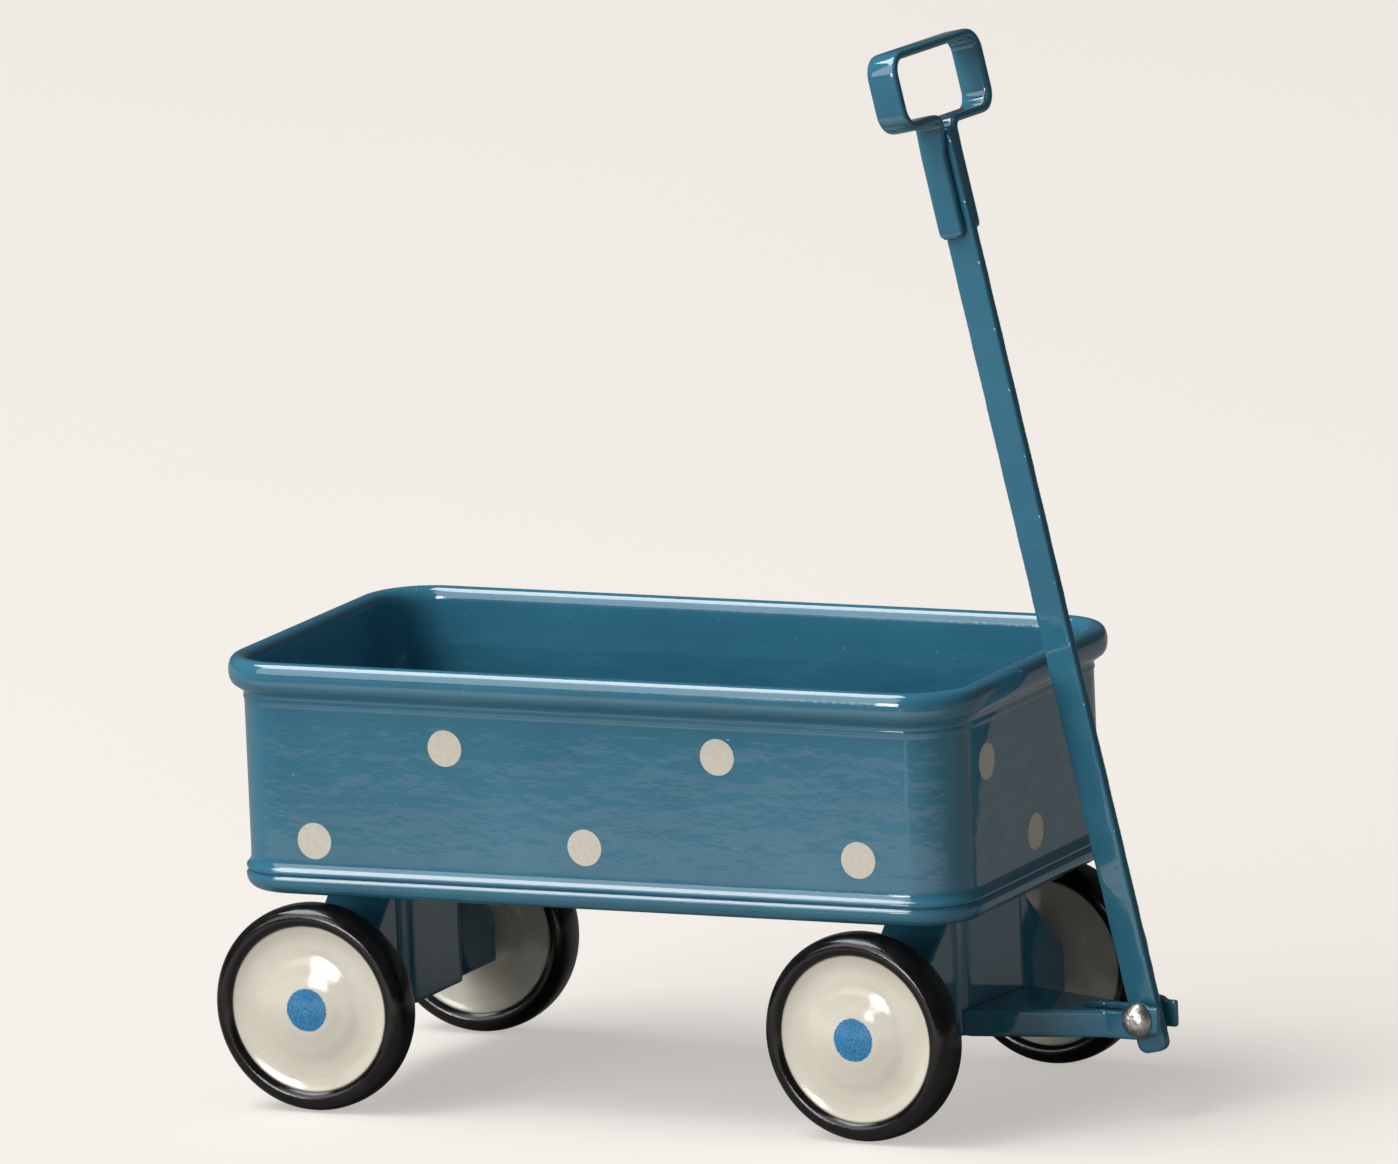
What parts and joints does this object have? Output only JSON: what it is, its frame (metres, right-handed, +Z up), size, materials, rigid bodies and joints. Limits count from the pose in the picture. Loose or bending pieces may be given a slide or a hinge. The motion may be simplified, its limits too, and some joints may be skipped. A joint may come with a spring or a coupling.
{
  "type": "miniature pull wagon",
  "caption": "Doll-size pull wagon of pressed steel: open tub with rolled rim on turning wheels, steering front truck, and a hinged flat-bar handle with a loop grip.",
  "frame": {"origin": "on the ground, under the middle of the whole wagon as it stands, in length and in width", "axes": "+X the way the wagon is pulled, +Y to its left, +Z up"},
  "size_m": [0.1172, 0.0538, 0.1308],
  "materials": {
    "enamel": "glossy blue enamel over pressed steel",
    "wheel_enamel": "glossy cream enamel over pressed steel",
    "tyre": "glossy black rubber",
    "bare_steel": "bare steel, hammered rivet heads"
  },
  "bodies": {
    "tub": {"tub_shell": "enamel", "floor_pan": "enamel", "rear_bracket": "enamel", "bracket_rivets": "enamel", "king_rivet": "enamel", "king_washer": "bare_steel"},
    "truck": {"front_bracket": "enamel", "tongue": "enamel", "handle_rivet": "bare_steel"},
    "handle": {"handle_bar": "enamel", "grip_strap": "enamel"},
    "rear_wheelset": {"rear_axle": "bare_steel", "rear_washers": "bare_steel", "tyre_rear_left": "tyre", "outer_disc_rear_left": "wheel_enamel", "inner_disc_rear_left": "wheel_enamel", "hub_rear_left": "bare_steel", "tyre_rear_right": "tyre", "outer_disc_rear_right": "wheel_enamel", "inner_disc_rear_right": "wheel_enamel", "hub_rear_right": "bare_steel"},
    "front_wheelset": {"front_axle": "bare_steel", "front_washers": "bare_steel", "tyre_front_left": "tyre", "outer_disc_front_left": "wheel_enamel", "inner_disc_front_left": "wheel_enamel", "hub_front_left": "bare_steel", "tyre_front_right": "tyre", "outer_disc_front_right": "wheel_enamel", "inner_disc_front_right": "wheel_enamel", "hub_front_right": "bare_steel"}
  },
  "joints": [
    {"name": "steering", "type": "hinge", "parent": "tub", "child": "truck", "pos_m": [0.02949, 0, 0.0266], "axis": [0, 0, 1], "range_deg": [-19, 29]},
    {"name": "handle_lower", "type": "hinge", "parent": "truck", "child": "handle", "pos_m": [0.05549, -0.00228, 0.01235], "axis": [0.0872, 0.9962, 0], "range_deg": [0, 107]},
    {"name": "rear_wheels_turn", "type": "hinge", "parent": "tub", "child": "rear_wheelset", "pos_m": [-0.04582, 0, 0.0128], "axis": [0, 1, 0], "continuous": true},
    {"name": "front_wheels_turn", "type": "hinge", "parent": "truck", "child": "front_wheelset", "pos_m": [0.02949, 0, 0.0128], "axis": [0.0872, 0.9962, 0], "continuous": true}
  ]
}
